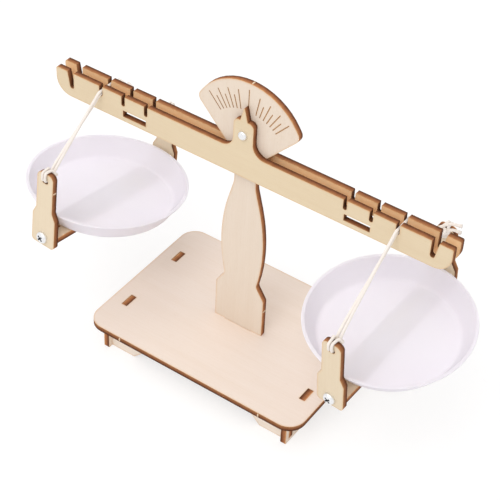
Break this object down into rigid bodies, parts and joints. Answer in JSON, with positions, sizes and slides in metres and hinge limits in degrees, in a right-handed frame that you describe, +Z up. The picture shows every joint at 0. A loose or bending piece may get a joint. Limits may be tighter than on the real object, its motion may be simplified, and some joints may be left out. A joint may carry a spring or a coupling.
{
  "type": "toy balance scale",
  "caption": "Laser-cut plywood balance scale toy: footed base, post with a dial, notched twin beams on a pivot screw, and plastic pans hung on string slings.",
  "frame": {"origin": "on the floor under the middle of the base, midway between the ends of the feet", "axes": "+X along the beam towards the right pan, +Y away from the marked face of the dial, +Z up"},
  "size_m": [0.246, 0.0986, 0.1655],
  "materials": {
    "plywood": "bare laser-cut plywood, pale faces and scorched edges",
    "steel": "bright zinc plate",
    "pan_plastic": "thin frosted translucent plastic",
    "string": "white twisted cotton"
  },
  "bodies": {
    "stand": {"base_plate": "plywood", "left_leg": "plywood", "right_leg": "plywood", "front_rail": "plywood", "rear_rail": "plywood", "dial_post": "plywood"},
    "beam": {"front_beam": "plywood", "rear_beam": "plywood", "front_washer": "steel", "rear_washer": "steel", "pivot_screw": "steel", "pivot_nut": "steel"},
    "left_pan_set": {"left_pan": "pan_plastic", "left_crossbar": "plywood", "left_front_hanger": "plywood", "left_rear_hanger": "plywood", "left_front_screw": "steel", "left_rear_screw": "steel", "left_sling": "string", "left_knot": "string"},
    "right_pan_set": {"right_pan": "pan_plastic", "right_crossbar": "plywood", "right_front_hanger": "plywood", "right_rear_hanger": "plywood", "right_front_screw": "steel", "right_rear_screw": "steel", "right_sling": "string", "right_knot": "string"}
  },
  "joints": [
    {"name": "beam_pivot", "type": "hinge", "parent": "stand", "child": "beam", "pos_m": [0, 0, 0.1392], "axis": [0, 1, 0], "range_deg": [-14, 14]},
    {"name": "left_pan_swing", "type": "hinge", "parent": "beam", "child": "left_pan_set", "pos_m": [-0.0818, 0, 0.1258], "axis": [0, -1, 0], "range_deg": [-14, 14]},
    {"name": "right_pan_swing", "type": "hinge", "parent": "beam", "child": "right_pan_set", "pos_m": [0.0818, 0, 0.1258], "axis": [0, -1, 0], "range_deg": [-14, 14]}
  ]
}
